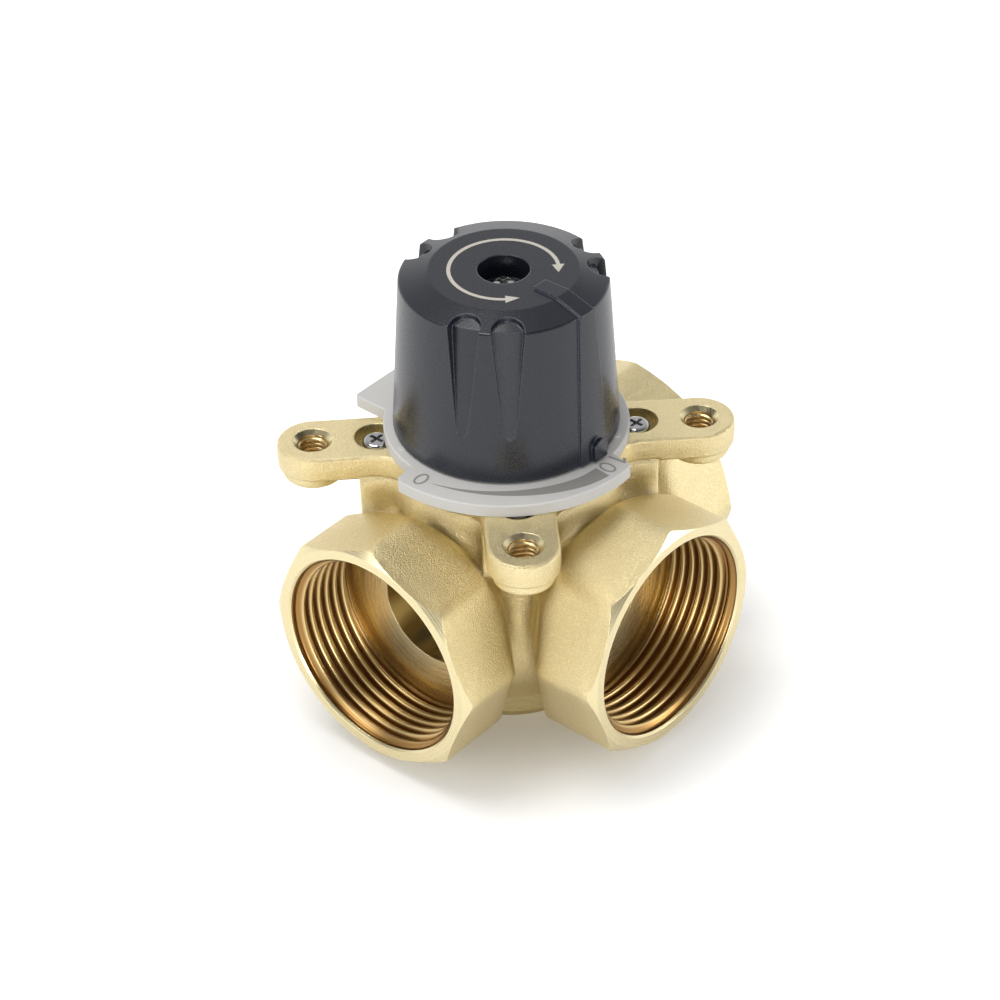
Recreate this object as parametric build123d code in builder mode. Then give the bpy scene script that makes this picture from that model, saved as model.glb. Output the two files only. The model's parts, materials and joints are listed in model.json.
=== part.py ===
"""Three-way rotary valve for heating water: forged brass body, cover with four lugs, dial and knob.

Z runs up the rotor axis from the underside of the foot. The straight ports lie along X and the
branch port looks to -Y. All sizes are in millimetres and angles in degrees, anticlockwise from +X.
"""

import os
from math import cos, radians, sin, tan

from build123d import *

# Ports: three alike, with an octagon for the spanner and a 1 1/4 pipe thread
thread_radius = 20.955
port_wall = 2.295
port_reach = 41.5
face_ring_width = 2.345
face_bevel_depth = 1.25
thread_depth = 16.5
thread_lead_in = 0.4
shoulder_radius = 16.4
shoulder_drop = 0.2
cone_drop = 1.0
port_bore_radius = 11.3
straight_port_angles = (0, 180)
branch_port_angle = -90

# Forged body between the ports
foot_clearance = 3.25
neck_drop = 2.95
neck_reach = 22.3
octagon_start = 27.6
valley_width = 4.0
valley_draft = 7.8
valley_radius = 1.8
valley_floor_lap = 0.05
barrel_wall = 3.5
barrel_foot_rise = 16.5
flange_width = 2.0
flange_height = 6.5
flange_slope = 3.0
flange_edge_radius = 1.2
foot_radius = 18.0
foot_height = 4.5
foot_flare = 0.45
neck_fillet = 5.0
forging_radius = 1.8

# Chamber and its bearings
chamber_radius = 18.0
chamber_drop = 13.0
pivot_bush_radius = 6.0
pivot_bush_length = 5.0
pivot_end_gap = 0.2

# Cover with four lugs on the diagonals
cover_thickness = 4.5
cover_seat_depth = 0.4
cover_seat_spare = 0.95
cover_parting = 2.0
cover_draft = 3.0
cover_edge_radius = 0.7
arm_width = 14.0
arm_root_radius = 5.0
lug_reach = 37.7
lug_boss_radius = 6.0
lug_boss_height = 2.6
lug_boss_edge = 0.8
lug_thread_radius = 3.0
lug_countersink_radius = 3.85
spigot_length = 6.0
spigot_gap = 0.05
block_reach = 29.0
block_height = 9.0
block_edge_radius = 0.8
corner_names = {"front": -135, "right": -45, "rear": 45, "left": 135}
first_corner = corner_names["front"]

# Screws: pan head, M3
screw_radius = 1.5
screw_fit = 0.02
screw_head_radius = 2.8
screw_head_height = 2.1
screw_head_edge = 0.9
cross_length = 3.2
cross_width = 0.8
cross_depth = 1.1
screw_reach = 25.3
screw_counterbore_radius = 4.3
screw_counterbore_depth = 2.6
screw_through_radius = 1.7
cover_screw_length = 10.5
cover_screw_hole_spare = 1.0

# Shaft, bush and seals
shaft_radius = 5.0
shaft_flat = 4.0
shaft_chamfer = 0.5
running_gap = 0.04
key_gap = 0.02
pivot_radius = 4.0
bush_radius = 9.0
bush_flange_radius = 11.0
bush_flange_thickness = 1.2
seal_depth = 1.3
seal_spare_width = 0.3
seal_gap = 0.01
shaft_seal_drops = (7.5, 4.1)
bush_seal_drop = 6.0
bush_seal_depth = 1.2
cover_seal_drop = 3.0
cover_seal_depth = 1.6
washer_thickness = 0.8
washer_gap = 0.05
clip_thickness = 1.0
clip_radius = 7.5
clip_groove_depth = 0.9
clip_gap = 0.1

# Slide: the segment that closes one port
slide_gap = 0.3
slide_wall = 4.0
slide_half_angle = 50
slide_plate = 3.0
slide_foot = 1.3

# Dial plate
dial_thickness = 2.5
dial_radius = 23.9
dial_bore_radius = 10.2
dial_edge_radius = 0.25
scale_radius = 28.75
scale_angle = -135
scale_half_angle = 51.7
scale_root_half_angle = 54.7
scale_root_radius = 23.4
scale_corner_radius = 1.5
tab_half_width = 12.7
tab_reach = 28.2
tab_corner_radius = 1.0
mark_radius = 0.8
mark_height = 0.2
mark_reach = 22.0
mark_half_angle = 68.6
peg_radius = 1.5
peg_length = 2.5
peg_gap = 0.05
peg_reach = 16.5
peg_angles = (15, 195)

# Knob
knob_gap = 0.5
knob_bottom_radius = 22.0
knob_lean = 2.0
knob_rim_height = 32.0
knob_shoulder_width = 5.7
knob_crown_rise = 1.67
knob_rim_rounding = 0.5
knob_hole_radius = 5.0
knob_hole_depth = 5.0
knob_wall = 2.2
knob_roof = 6.2
cavity_lean = 1.4
hub_radius = 9.5
hub_start = 6.5
groove_angles = (-150, -30, 90)
groove_half_spread = 12.4
groove_low_radius = 1.15
groove_top_radius = 3.1
groove_low_height = 10.45
groove_top_height = 31.6
groove_arch_inset = 1.1
groove_low_depth = 0.6
groove_low_start = 9.0
groove_rim_depth = 2.0
groove_rim_height = 31.4
groove_crown_depth = 4.2
groove_crown_height = 32.2
pointer_angle = -90
pointer_rise = 0.45
pointer_start = 8.8
pointer_half_width_in = 1.7
pointer_half_width_out = 1.95
pointer_side_top = 2.25
pointer_side_foot = 4.0
nib_angle = 1.5
nib_width = 3.6
nib_edge_radius = 1.75
nib_height = 4.3
nib_rise = 1.2

# Stop disc: it drives the knob and carries the quarter-turn stop
disc_gap = 0.4
disc_radius = 16.0
disc_thickness = 3.0
hexagon_size = 13.0
hexagon_length = 16.4
shaft_top_drop = 1.0
knob_screw_grip = 9.0
stop_pin_radius = 1.5
stop_reach = 12.0
stop_slot_gap = 0.3
stop_angle = -150
stop_spare_angle = 1.0
quarter_turn = 90

# How far a cutting shape reaches past what it cuts
cut_spare = 1.0

# Heights and radii that follow from the sizes above
spanner_size = 2 * (thread_radius + port_wall)
octagon_radius = spanner_size / 2 / cos(radians(22.5))
face_ring_radius = thread_radius + face_ring_width
port_height = spanner_size / 2 + foot_clearance
body_height = 2 * port_height
neck_radius = spanner_size / 2 - neck_drop
barrel_radius = chamber_radius + barrel_wall
flange_radius = barrel_radius + flange_width
chamber_floor = port_height - chamber_drop
cover_seat_radius = block_reach + cover_seat_spare
cover_top = body_height + cover_thickness
cover_underside = body_height - cover_seat_depth
parting_height = cover_top - cover_thickness + cover_parting
spigot_bottom = body_height - spigot_length
bush_bottom = spigot_bottom - bush_flange_thickness
washer_bottom = bush_bottom - washer_gap - washer_thickness
slide_top = washer_bottom - washer_gap
slide_radius = chamber_radius - slide_gap
slide_bottom = chamber_floor + slide_gap
shaft_seal_heights = [cover_top - drop for drop in shaft_seal_drops]
bush_seal_height = cover_top - bush_seal_drop
cover_seal_height = body_height - cover_seal_drop
pivot_pocket_floor = chamber_floor - pivot_bush_length
clip_bottom = cover_top + clip_gap
dial_top = cover_top + dial_thickness
knob_bottom = dial_top + knob_gap
knob_rim_radius = knob_bottom_radius - knob_lean
knob_crown_radius = knob_rim_radius - knob_shoulder_width
groove_arch_radius = knob_rim_radius - groove_arch_inset
knob_rim = knob_bottom + knob_rim_height
knob_top = knob_rim + knob_crown_rise
hole_floor = knob_top - knob_hole_depth
disc_bottom = dial_top + disc_gap
disc_top = disc_bottom + disc_thickness
hexagon_top = disc_top + hexagon_length
shaft_top = hexagon_top - shaft_top_drop
knob_screw_length = hole_floor - shaft_top + knob_screw_grip
cavity_roof = knob_top - knob_roof
cavity_taper = (knob_bottom_radius - knob_rim_radius + cavity_lean) / knob_rim_height
cavity_top_radius = knob_bottom_radius - knob_wall - cavity_taper * (cavity_roof - knob_bottom)


def around(angle, radius, height):
    """Place on a circle round the rotor axis."""
    return (radius * cos(radians(angle)), radius * sin(radians(angle)), height)


def valley_prism(start, length, growth=0):
    """Space between two ports along +X: narrow at port height, drafted up and down."""
    rise = body_height - port_height
    waist = valley_width / 2 + growth
    mouth = waist + rise * tan(radians(valley_draft))
    with BuildPart() as prism:
        with BuildSketch(Plane.YZ.offset(start)):
            with BuildLine():
                Polyline(
                    (-waist, port_height),
                    (-mouth, port_height + rise),
                    (mouth, port_height + rise),
                    (waist, port_height),
                    (mouth, port_height - rise),
                    (-mouth, port_height - rise),
                    close=True,
                )
            make_face()
        extrude(amount=length)
    return prism


def seal_ring(centre_radius, section_radius, height):
    """Rubber ring of round section."""
    with BuildPart() as ring:
        with BuildSketch(Plane.XZ):
            with Locations((centre_radius, height)):
                Circle(section_radius)
        revolve(axis=Axis.Z)
    return ring


def pan_head_screw(head_seat, length):
    """Screw on the Z axis, head up, with a cross recess."""
    with BuildPart() as screw:
        with BuildSketch(Plane.XY.offset(head_seat)):
            Circle(screw_head_radius)
        extrude(amount=screw_head_height)
        fillet(screw.edges().sort_by(Axis.Z)[-1], screw_head_edge)
        with BuildSketch(Plane.XY.offset(head_seat)):
            Circle(screw_radius - screw_fit)
        extrude(amount=-length)
        with BuildSketch(Plane.XY.offset(head_seat + screw_head_height)):
            Rectangle(cross_length, cross_width)
            Rectangle(cross_width, cross_length)
        extrude(amount=-cross_depth, mode=Mode.SUBTRACT)
    return screw


# A valley from the barrel outwards, with its inner edges rounded
with BuildPart() as valley_nose:
    add(valley_prism(barrel_radius, port_reach, -valley_floor_lap).part)
    inner_face = valley_nose.faces().sort_by(Axis.X)[0]
    fillet(inner_face.edges().filter_by(Axis.Y, reverse=True), valley_radius)

# Metal left between a valley's walls and the barrel
with BuildPart() as valley_floor:
    floor_reach = barrel_radius + valley_radius - chamber_radius
    add(valley_prism(chamber_radius - valley_floor_lap, floor_reach, valley_radius).part)
    add(valley_nose.part, mode=Mode.SUBTRACT)
    with BuildSketch(Plane.XZ):
        with BuildLine():
            Polyline(
                (foot_radius - cut_spare, 0),
                (foot_radius - cut_spare, foot_height + cut_spare),
                (barrel_radius + 3 * valley_radius, barrel_foot_rise),
                (barrel_radius + 3 * valley_radius, 0),
                close=True,
            )
        make_face()
    revolve(axis=Axis.Z, mode=Mode.SUBTRACT)

# One port along +X: an octagonal prism, bevelled at its face and necked behind its upper half
valley = valley_prism(0, 2 * port_reach)
port_axis = Axis((0, 0, port_height), (1, 0, 0))
with BuildPart() as port_blank:
    with BuildSketch(Plane(origin=(0, 0, port_height), x_dir=(0, 0, 1), z_dir=(1, 0, 0))):
        RegularPolygon(octagon_radius, 8)
    extrude(amount=port_reach)
    with BuildSketch(Plane.XZ.shift_origin((0, 0, port_height))):
        with BuildLine():
            Polyline(
                (port_reach, face_ring_radius),
                (port_reach - face_bevel_depth, octagon_radius),
                (port_reach, octagon_radius),
                close=True,
            )
        make_face()
    revolve(axis=port_axis, mode=Mode.SUBTRACT)
    with BuildSketch(Plane.XY.offset(port_height)) as neck:
        with BuildLine():
            Polyline(
                (0, neck_radius),
                (neck_reach, neck_radius),
                (octagon_start, octagon_radius),
                (octagon_start, octagon_radius + cut_spare),
                (0, octagon_radius + cut_spare),
                close=True,
            )
        make_face()
        fillet(neck.vertices().sort_by_distance((neck_reach, neck_radius))[0], neck_fillet)
    revolve(axis=port_axis, revolution_arc=180, mode=Mode.SUBTRACT)
    for side in (45, -45):
        with Locations(Rotation(0, 0, side)):
            add(valley.part, mode=Mode.SUBTRACT)
with BuildPart() as port:
    add(port_blank.part.solids().sort_by(Axis.X)[-1])
    behind_face = port.edges().filter_by_position(
        Axis.X, cut_spare, port_reach - 2 * face_bevel_depth
    )
    rounded = behind_face.filter_by(
        lambda edge: abs(edge.center().Z - port_height) > cut_spare
        or abs(edge.center().Y) > neck_radius
    )
    fillet(rounded, forging_radius)

# Block under each arm of the cover, in the XZ plane: its underside slopes back to the barrel
with BuildPart() as block:
    with BuildSketch(Plane.XZ) as block_side:
        with BuildLine():
            Polyline(
                (chamber_radius, body_height),
                (block_reach, body_height),
                (block_reach, body_height - block_height),
                (chamber_radius, body_height - block_height - block_reach + chamber_radius),
                close=True,
            )
        make_face()
    extrude(amount=arm_width / 2, both=True)
    fillet(block.edges().group_by(Axis.X)[-1].filter_by(Axis.Z), block_edge_radius)

# Everything that is turned out of one port, along +X
with BuildPart() as port_bore:
    shoulder = port_reach - thread_depth
    with BuildSketch(Plane.XZ.shift_origin((0, 0, port_height))):
        with BuildLine():
            Polyline(
                (0, 0),
                (0, port_bore_radius),
                (shoulder - shoulder_drop - cone_drop, port_bore_radius),
                (shoulder - shoulder_drop, shoulder_radius),
                (shoulder, thread_radius),
                (port_reach - thread_lead_in, thread_radius),
                (port_reach, thread_radius + thread_lead_in),
                (port_reach, 0),
                close=True,
            )
        make_face()
    revolve(axis=Axis((0, 0, port_height), (1, 0, 0)))

with BuildPart() as body:
    # Barrel, foot and flange
    with BuildSketch(Plane.XZ) as half_barrel:
        with BuildLine():
            Polyline((0, 0), (foot_radius, 0), (foot_radius, foot_height))
            Spline(
                (foot_radius, foot_height),
                (barrel_radius, barrel_foot_rise),
                tangents=((foot_flare, 1), (0, 1)),
            )
            Polyline(
                (barrel_radius, barrel_foot_rise),
                (barrel_radius, body_height - flange_height - flange_slope),
                (flange_radius, body_height - flange_height),
                (flange_radius, body_height),
                (0, body_height),
                (0, 0),
            )
        make_face()
        corners = half_barrel.vertices()
        fillet(corners.sort_by_distance((flange_radius, body_height))[0], flange_edge_radius)
        fillet(corners.sort_by_distance((flange_radius, body_height - flange_height))[0], forging_radius)
    revolve(axis=Axis.Z)
    for angle in corner_names.values():
        with Locations(Rotation(0, 0, angle)):
            add(block.part)
    for angle in (*straight_port_angles, branch_port_angle):
        with Locations(Rotation(0, 0, angle)):
            add(port.part)
    for side in (-45, 45):
        with Locations(Rotation(0, 0, branch_port_angle + side)):
            add(valley_floor.part)
    # Chamber, bearing pocket, ports and screw holes
    with Locations((0, 0, body_height)):
        Cylinder(
            chamber_radius,
            body_height - chamber_floor,
            align=(Align.CENTER, Align.CENTER, Align.MAX),
            mode=Mode.SUBTRACT,
        )
    with Locations((0, 0, chamber_floor)):
        Cylinder(
            pivot_bush_radius,
            pivot_bush_length,
            align=(Align.CENTER, Align.CENTER, Align.MAX),
            mode=Mode.SUBTRACT,
        )
    for angle in (*straight_port_angles, branch_port_angle):
        with Locations(Rotation(0, 0, angle)):
            add(port_bore.part, mode=Mode.SUBTRACT)
    head_seat = cover_top - screw_counterbore_depth
    screw_hole_depth = body_height - head_seat + cover_screw_length + cover_screw_hole_spare
    with Locations((0, 0, body_height)):
        with PolarLocations(screw_reach, len(corner_names), start_angle=first_corner):
            Cylinder(
                screw_radius,
                screw_hole_depth,
                align=(Align.CENTER, Align.CENTER, Align.MAX),
                mode=Mode.SUBTRACT,
            )

# Cover: disc and four lug arms, drafted from the parting line, with the spigot that centres it
with BuildPart() as cover:
    with BuildSketch(Plane.XY.offset(parting_height)) as cover_outline:
        Circle(flange_radius)
        for angle in (corner_names["rear"], corner_names["left"]):
            with Locations(Rotation(0, 0, angle)):
                SlotCenterToCenter(2 * lug_reach, arm_width)
        inner_corners = cover_outline.vertices().filter_by(
            lambda corner: (corner.X**2 + corner.Y**2) ** 0.5 < lug_reach
        )
        fillet(inner_corners, arm_root_radius)
    extrude(amount=cover_top - parting_height, taper=cover_draft)
    fillet(cover.edges().group_by(Axis.Z)[-1], cover_edge_radius)
    with BuildSketch(Plane.XY.offset(parting_height)):
        add(cover_outline.sketch.moved(Location((0, 0, -parting_height))))
    extrude(amount=cover_underside - parting_height, taper=cover_draft)
    with BuildSketch(Plane.XY.offset(cover_underside)):
        with PolarLocations(lug_reach, len(corner_names), start_angle=first_corner):
            Circle(lug_boss_radius)
    extrude(amount=-lug_boss_height)
    fillet(cover.edges().group_by(Axis.Z)[0], lug_boss_edge)
    with Locations((0, 0, cover_underside)):
        Cylinder(
            cover_seat_radius,
            cover_seat_depth,
            align=(Align.CENTER, Align.CENTER, Align.MIN),
            mode=Mode.SUBTRACT,
        )
    with BuildSketch(Plane.XY.offset(body_height)):
        Circle(chamber_radius - spigot_gap)
    extrude(amount=-spigot_length)
    with BuildSketch(Plane.XZ):
        with Locations((chamber_radius - spigot_gap, cover_seal_height)):
            Rectangle(
                cover_seal_depth,
                cover_seal_depth + seal_spare_width,
                align=(Align.MAX, Align.CENTER),
            )
    revolve(axis=Axis.Z, mode=Mode.SUBTRACT)
    with Locations((0, 0, cover_top)):
        Cylinder(
            bush_radius,
            cover_thickness + spigot_length,
            align=(Align.CENTER, Align.CENTER, Align.MAX),
            mode=Mode.SUBTRACT,
        )
        with PolarLocations(lug_reach, len(corner_names), start_angle=first_corner):
            CounterSinkHole(lug_thread_radius, lug_countersink_radius, counter_sink_angle=90)
        with PolarLocations(screw_reach, len(corner_names), start_angle=first_corner):
            CounterBoreHole(screw_through_radius, screw_counterbore_radius, screw_counterbore_depth)
        with PolarLocations(peg_reach, len(peg_angles), start_angle=peg_angles[0]):
            Hole(peg_radius, depth=peg_length + peg_gap)
        with Locations(around(stop_angle, stop_reach, 0)):
            Hole(stop_pin_radius, depth=cover_thickness)

cover_screw = pan_head_screw(head_seat, cover_screw_length)
cover_seal_section = (cover_seal_depth + spigot_gap) / 2 - seal_gap
cover_ring = seal_ring(
    chamber_radius - seal_gap - cover_seal_section, cover_seal_section, cover_seal_height
)

# Flanged bush in the cover
with BuildPart() as bush:
    with BuildSketch(Plane.XY.offset(bush_bottom)):
        Circle(bush_flange_radius)
    extrude(amount=bush_flange_thickness)
    with BuildSketch(Plane.XY.offset(spigot_bottom)):
        Circle(bush_radius - key_gap)
    extrude(amount=cover_top - spigot_bottom)
    with BuildSketch(Plane.XZ):
        with Locations((bush_radius - key_gap, bush_seal_height)):
            Rectangle(
                bush_seal_depth,
                bush_seal_depth + seal_spare_width,
                align=(Align.MAX, Align.CENTER),
            )
    revolve(axis=Axis.Z, mode=Mode.SUBTRACT)
    with Locations((0, 0, cover_top)):
        Hole(shaft_radius + running_gap)

bush_seal_section = (bush_seal_depth + key_gap) / 2 - seal_gap
bush_ring = seal_ring(
    bush_radius - seal_gap - bush_seal_section, bush_seal_section, bush_seal_height
)

with BuildPart() as pivot_bush:
    with BuildSketch(Plane.XY.offset(pivot_pocket_floor)):
        Circle(pivot_bush_radius - key_gap)
        Circle(pivot_radius + running_gap, mode=Mode.SUBTRACT)
    extrude(amount=pivot_bush_length)

# Shaft: round in its bearings and seals, flat-sided where it drives the slide and the stop disc
with BuildPart() as shaft:
    pivot_end = pivot_pocket_floor + pivot_end_gap
    with BuildSketch(Plane.XY.offset(pivot_end)):
        Circle(pivot_radius)
    extrude(amount=slide_bottom - pivot_end)
    with BuildSketch(Plane.XY.offset(slide_bottom)):
        Circle(shaft_radius)
    extrude(amount=shaft_top - slide_bottom)
    chamfer(shaft.edges().group_by(Axis.Z)[-1], shaft_chamfer)
    for flat_start, flat_end in ((slide_bottom, slide_top), (disc_bottom, shaft_top)):
        with Locations((0, -shaft_flat, flat_start)):
            Box(
                2 * shaft_radius,
                shaft_radius,
                flat_end - flat_start,
                align=(Align.CENTER, Align.MAX, Align.MIN),
                mode=Mode.SUBTRACT,
            )
    with BuildSketch(Plane.XZ):
        for seal_height in shaft_seal_heights:
            with Locations((shaft_radius, seal_height)):
                Rectangle(
                    seal_depth, seal_depth + seal_spare_width, align=(Align.MAX, Align.CENTER)
                )
        with Locations((shaft_radius, clip_bottom)):
            Rectangle(clip_groove_depth, clip_thickness, align=(Align.MAX, Align.MIN))
    revolve(axis=Axis.Z, mode=Mode.SUBTRACT)
    with Locations((0, 0, shaft_top)):
        Hole(screw_radius, depth=shaft_top - hole_floor + knob_screw_length + cut_spare)

shaft_seal_section = (seal_depth + running_gap) / 2 - seal_gap
shaft_rings = [
    seal_ring(
        shaft_radius + running_gap - seal_gap - shaft_seal_section, shaft_seal_section, seal_height
    )
    for seal_height in shaft_seal_heights
]

with BuildPart() as thrust_washer:
    with BuildSketch(Plane.XY.offset(washer_bottom)):
        Circle(bush_flange_radius)
        Circle(shaft_radius + running_gap, mode=Mode.SUBTRACT)
    extrude(amount=washer_thickness)

# Clip that holds the shaft down: it snaps into the shaft's groove, open to one side
with BuildPart() as retaining_clip:
    with BuildSketch(Plane.XY.offset(clip_bottom)):
        Circle(clip_radius)
        Circle(shaft_radius - clip_groove_depth + key_gap, mode=Mode.SUBTRACT)
        with Locations((clip_radius, 0)):
            Rectangle(2 * clip_radius, shaft_radius, mode=Mode.SUBTRACT)
    extrude(amount=clip_thickness)

# Slide: two plates on the shaft's flat and the segment between them, facing the pointer
with BuildPart() as slide:
    with BuildSketch(Plane.XY.offset(slide_bottom)) as slide_disc:
        Circle(slide_radius)
        with BuildSketch(mode=Mode.SUBTRACT) as shaft_section:
            Circle(shaft_radius + key_gap)
            with Locations((0, -shaft_flat - key_gap)):
                Rectangle(
                    3 * shaft_radius,
                    shaft_radius,
                    align=(Align.CENTER, Align.MAX),
                    mode=Mode.SUBTRACT,
                )
    extrude(amount=slide_foot)
    with BuildSketch(Plane.XY.offset(slide_top)):
        add(slide_disc.sketch.moved(Location((0, 0, -slide_bottom))))
    extrude(amount=-slide_plate)
    with BuildSketch(Plane.XY.offset(slide_bottom)):
        Circle(slide_radius)
        Circle(slide_radius - slide_wall, mode=Mode.SUBTRACT)
        with BuildLine(mode=Mode.PRIVATE) as segment_sides:
            reach = 2 * slide_radius
            Polyline(
                (0, 0),
                around(branch_port_angle - slide_half_angle, reach, 0),
                around(branch_port_angle, reach, 0),
                around(branch_port_angle + slide_half_angle, reach, 0),
                close=True,
            )
        make_face(segment_sides.edges(), mode=Mode.INTERSECT)
    extrude(amount=slide_top - slide_bottom)

# Dial plate: round, with the scale's wider sector in front and a plain tab at the back
with BuildPart() as dial:
    with BuildSketch(Plane.XY.offset(cover_top)) as dial_outline:
        Circle(dial_radius)
        with BuildLine() as scale_edge:
            first = around(scale_angle - scale_half_angle, scale_radius, 0)
            middle = around(scale_angle, scale_radius, 0)
            last = around(scale_angle + scale_half_angle, scale_radius, 0)
            ThreePointArc(first, middle, last)
            Polyline(
                last,
                around(scale_angle + scale_root_half_angle, scale_root_radius, 0),
                (0, 0),
                around(scale_angle - scale_root_half_angle, scale_root_radius, 0),
                first,
            )
        make_face()
        with Locations((0, 0)):
            Rectangle(2 * tab_half_width, tab_reach, align=(Align.CENTER, Align.MIN))
        for corner in (first, last):
            fillet(dial_outline.vertices().sort_by_distance(corner)[0], scale_corner_radius)
        for side in (-tab_half_width, tab_half_width):
            corner = dial_outline.vertices().sort_by_distance((side, tab_reach))[0]
            fillet(corner, tab_corner_radius)
        Circle(dial_bore_radius, mode=Mode.SUBTRACT)
    extrude(amount=dial_thickness)
    fillet(dial.faces().sort_by(Axis.Z)[-1].outer_wire().edges(), dial_edge_radius)
    with BuildSketch(Plane.XY.offset(cover_top)):
        with PolarLocations(peg_reach, len(peg_angles), start_angle=peg_angles[0]):
            Circle(peg_radius - peg_gap)
    extrude(amount=-peg_length)
    with BuildSketch(Plane.XY.offset(dial_top)):
        for angle in (scale_angle - mark_half_angle, scale_angle + mark_half_angle):
            with Locations(around(angle, mark_reach, 0)):
                Circle(mark_radius)
    extrude(amount=mark_height)
    with Locations(around(stop_angle, stop_reach, dial_top)):
        Hole(stop_pin_radius + peg_gap, depth=dial_thickness)

# Stop pin, pressed into the cover: the stop disc's slot lets the knob turn a quarter turn
with BuildPart() as stop_pin:
    with BuildSketch(Plane.XY.offset(body_height)):
        with Locations(around(stop_angle, stop_reach, 0)):
            Circle(stop_pin_radius - key_gap)
    extrude(amount=disc_top - body_height)

with BuildPart() as stop_disc:
    with BuildSketch(Plane.XY.offset(disc_bottom)):
        Circle(disc_radius)
        slot_start = stop_angle - stop_spare_angle
        with BuildSketch(mode=Mode.SUBTRACT):
            SlotArc(
                CenterArc(
                    (0, 0), stop_reach, slot_start, quarter_turn + 2 * stop_spare_angle
                ),
                2 * (stop_pin_radius + stop_slot_gap),
            )
    extrude(amount=disc_thickness)
    with BuildSketch(Plane.XY.offset(disc_top)):
        RegularPolygon(hexagon_size / 2, 6, major_radius=False)
    extrude(amount=hexagon_length)
    with BuildSketch(Plane.XY.offset(disc_bottom)):
        add(shaft_section.sketch)
    extrude(amount=disc_thickness + hexagon_length, mode=Mode.SUBTRACT)

# Space outside the grooves' floor, which tapers like the knob and runs out towards its foot
floor_low = (knob_bottom_radius - groove_low_depth, knob_bottom + groove_low_start)
floor_rim = (knob_rim_radius - groove_rim_depth, knob_bottom + groove_rim_height)
floor_crown = (knob_rim_radius - groove_crown_depth, knob_bottom + groove_crown_height)
with BuildPart() as groove_floor:
    with BuildSketch(Plane.XZ):
        with BuildLine():
            Polyline(
                floor_low,
                floor_rim,
                floor_crown,
                (floor_crown[0], knob_top + cut_spare),
                (knob_bottom_radius + cut_spare, knob_top + cut_spare),
                (knob_bottom_radius + cut_spare, floor_low[1]),
                close=True,
            )
        make_face()
    revolve(axis=Axis.Z)

# One groove towards +X: widening upwards and ending in an arch in the crown
with BuildPart() as groove:
    with BuildSketch(Plane.YZ):
        with Locations((0, knob_bottom + groove_low_height)):
            Circle(groove_low_radius)
        with BuildLine():
            Polyline(
                (-groove_low_radius, knob_bottom + groove_low_height),
                (-groove_top_radius, knob_bottom + groove_top_height),
                (-groove_top_radius, knob_top + cut_spare),
                (groove_top_radius, knob_top + cut_spare),
                (groove_top_radius, knob_bottom + groove_top_height),
                (groove_low_radius, knob_bottom + groove_low_height),
                close=True,
            )
        make_face()
    extrude(amount=knob_bottom_radius + cut_spare)
    with BuildSketch(Plane.XY.offset(knob_bottom)):
        with Locations((groove_arch_radius, 0)):
            Circle(groove_top_radius)
            Rectangle(
                knob_bottom_radius,
                2 * groove_top_radius,
                align=(Align.MIN, Align.CENTER),
            )
    extrude(amount=knob_top + cut_spare - knob_bottom, mode=Mode.INTERSECT)
    add(groove_floor.part, mode=Mode.INTERSECT)

# Pointer towards -Y: a rib on the crown and a raised facet down the side, one skin on the knob
with BuildPart() as pointer:
    with BuildSketch(Plane.XY.offset(knob_bottom)):
        with BuildLine():
            Polyline(
                (-pointer_half_width_in, -pointer_start),
                (-pointer_half_width_out, -knob_bottom_radius - 2 * pointer_rise),
                (pointer_half_width_out, -knob_bottom_radius - 2 * pointer_rise),
                (pointer_half_width_in, -pointer_start),
                close=True,
            )
        make_face()
    extrude(amount=knob_top + cut_spare - knob_bottom)
    with BuildSketch(Plane.XZ):
        with BuildLine():
            Polyline(
                (-pointer_side_foot, knob_bottom),
                (-pointer_side_top, knob_rim),
                (pointer_side_top, knob_rim),
                (pointer_side_foot, knob_bottom),
                close=True,
            )
        make_face()
    extrude(amount=knob_bottom_radius + 2 * pointer_rise)
    with BuildSketch(Plane.XZ):
        with BuildLine():
            Polyline(
                (0, knob_bottom),
                (knob_bottom_radius + pointer_rise, knob_bottom),
                (knob_rim_radius + pointer_rise, knob_rim + pointer_rise / 2),
                (knob_crown_radius + pointer_rise / 2, knob_top + pointer_rise),
                (0, knob_top + pointer_rise),
                close=True,
            )
        make_face()
    revolve(axis=Axis.Z, mode=Mode.INTERSECT)

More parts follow.
